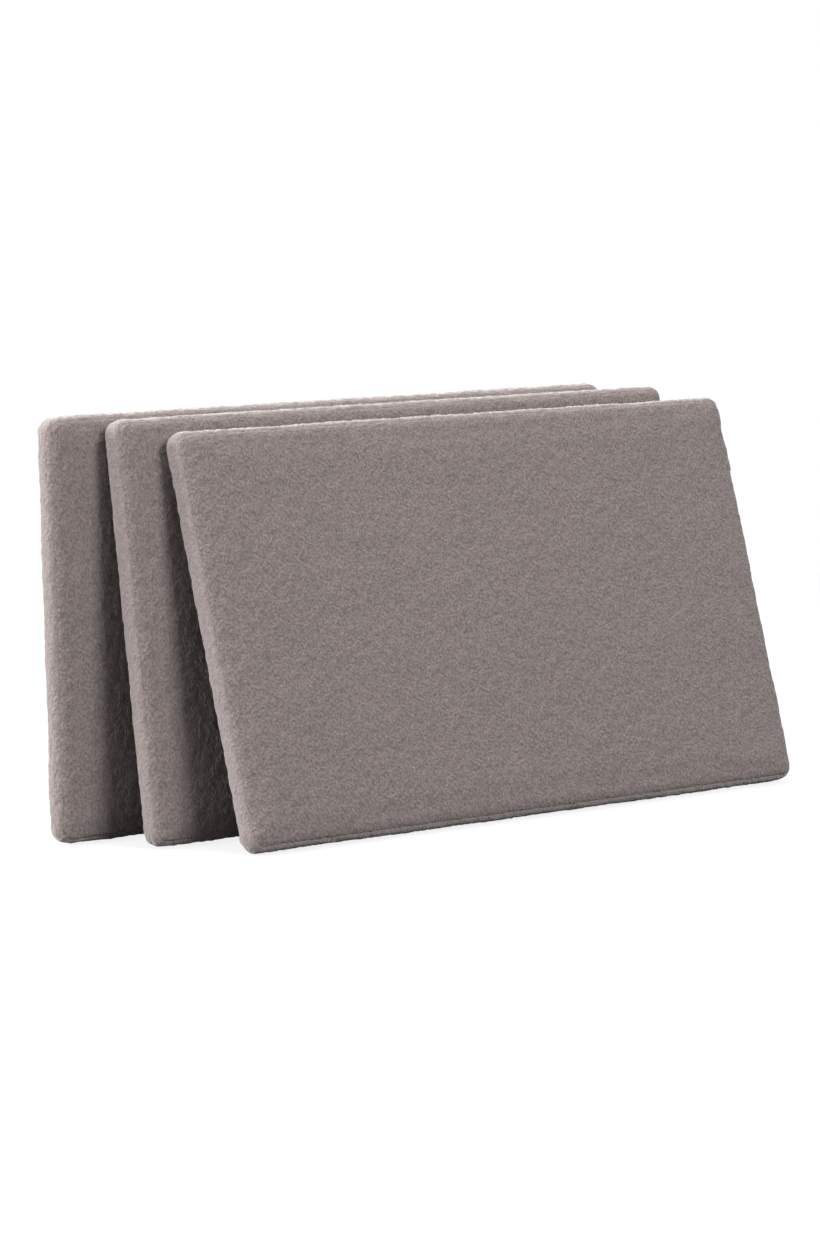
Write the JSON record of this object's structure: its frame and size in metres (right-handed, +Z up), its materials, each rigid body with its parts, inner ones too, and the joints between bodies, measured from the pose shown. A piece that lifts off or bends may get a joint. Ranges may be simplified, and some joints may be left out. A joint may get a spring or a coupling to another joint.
{
  "type": "plush foam pad set",
  "caption": "Rectangular foam pads in zipped short-pile plush covers, standing on their long edges and leaning back on each other in a row.",
  "frame": {"origin": "on the floor, under the middle of the box round all the pads", "axes": "+X along the pads' long edges, towards the zipped ends; +Y from the front pad to the back pad; +Z up"},
  "size_m": [0.8052, 0.207, 0.3999],
  "materials": {
    "plush_face": "matte",
    "plush_band": "matte",
    "foam": "matte",
    "liner": "matte",
    "thread": "matte",
    "zip_tape": "matte",
    "zip_teeth": "satin",
    "zip_metal": "satin"
  },
  "bodies": {
    "front_pad": {"front_pad_foam_core": "foam", "front_pad_core_liner": "liner", "front_pad_cover_front_panel": "plush_face", "front_pad_cover_back_panel": "plush_face", "front_pad_cover_side_band": "plush_band", "front_pad_front_seam_thread": "thread", "front_pad_back_seam_thread": "thread", "front_pad_zip_band_front": "plush_band", "front_pad_zip_band_back": "plush_band", "front_pad_zip_tape_front": "zip_tape", "front_pad_zip_tape_back": "zip_tape", "front_pad_zip_teeth_front": "zip_teeth", "front_pad_zip_teeth_back": "zip_teeth", "front_pad_zip_stops": "zip_teeth"},
    "front_pad_slider": {"front_pad_zip_slider": "zip_metal"},
    "front_pad_pull": {"front_pad_zip_pull": "zip_metal"},
    "middle_pad": {"middle_pad_foam_core": "foam", "middle_pad_core_liner": "liner", "middle_pad_cover_front_panel": "plush_face", "middle_pad_cover_back_panel": "plush_face", "middle_pad_cover_side_band": "plush_band", "middle_pad_front_seam_thread": "thread", "middle_pad_back_seam_thread": "thread", "middle_pad_zip_band_front": "plush_band", "middle_pad_zip_band_back": "plush_band", "middle_pad_zip_tape_front": "zip_tape", "middle_pad_zip_tape_back": "zip_tape", "middle_pad_zip_teeth_front": "zip_teeth", "middle_pad_zip_teeth_back": "zip_teeth", "middle_pad_zip_stops": "zip_teeth"},
    "middle_pad_slider": {"middle_pad_zip_slider": "zip_metal"},
    "middle_pad_pull": {"middle_pad_zip_pull": "zip_metal"},
    "back_pad": {"back_pad_foam_core": "foam", "back_pad_core_liner": "liner", "back_pad_cover_front_panel": "plush_face", "back_pad_cover_back_panel": "plush_face", "back_pad_cover_side_band": "plush_band", "back_pad_front_seam_thread": "thread", "back_pad_back_seam_thread": "thread", "back_pad_zip_band_front": "plush_band", "back_pad_zip_band_back": "plush_band", "back_pad_zip_tape_front": "zip_tape", "back_pad_zip_tape_back": "zip_tape", "back_pad_zip_teeth_front": "zip_teeth", "back_pad_zip_teeth_back": "zip_teeth", "back_pad_zip_stops": "zip_teeth"},
    "back_pad_slider": {"back_pad_zip_slider": "zip_metal"},
    "back_pad_pull": {"back_pad_zip_pull": "zip_metal"}
  },
  "joints": [
    {"name": "middle_pad_lift", "type": "slide", "parent": "back_pad", "child": "middle_pad", "axis": [0, 0, 1], "range_m": [0, 0.42]},
    {"name": "front_pad_lift", "type": "slide", "parent": "middle_pad", "child": "front_pad", "axis": [0, 0, 1], "range_m": [0, 0.42]},
    {"name": "front_pad_zip_run", "type": "slide", "parent": "front_pad", "child": "front_pad_slider", "axis": [0, -0.294, -0.9558], "range_m": [0, 0.2924]},
    {"name": "front_pad_pull_swing", "type": "hinge", "parent": "front_pad_slider", "child": "front_pad_pull", "pos_m": [0.40121, 0.00942, 0.33206], "axis": [0, -0.9558, 0.294], "range_deg": [0, 170]},
    {"name": "middle_pad_zip_run", "type": "slide", "parent": "middle_pad", "child": "middle_pad_slider", "axis": [0.0008, -0.1495, -0.9888], "range_m": [0, 0.2924]},
    {"name": "middle_pad_pull_swing", "type": "hinge", "parent": "middle_pad_slider", "child": "middle_pad_pull", "pos_m": [0.35485, 0.05119, 0.34275], "axis": [0.0052, -0.9887, 0.1495], "range_deg": [0, 170]},
    {"name": "back_pad_zip_run", "type": "slide", "parent": "back_pad", "child": "back_pad_slider", "axis": [0.0003, -0.0384, -0.9993], "range_m": [0, 0.2924]},
    {"name": "back_pad_pull_swing", "type": "hinge", "parent": "back_pad_slider", "child": "back_pad_pull", "pos_m": [0.3, 0.08702, 0.34603], "axis": [0.007, -0.9992, 0.0384], "range_deg": [0, 170]}
  ]
}
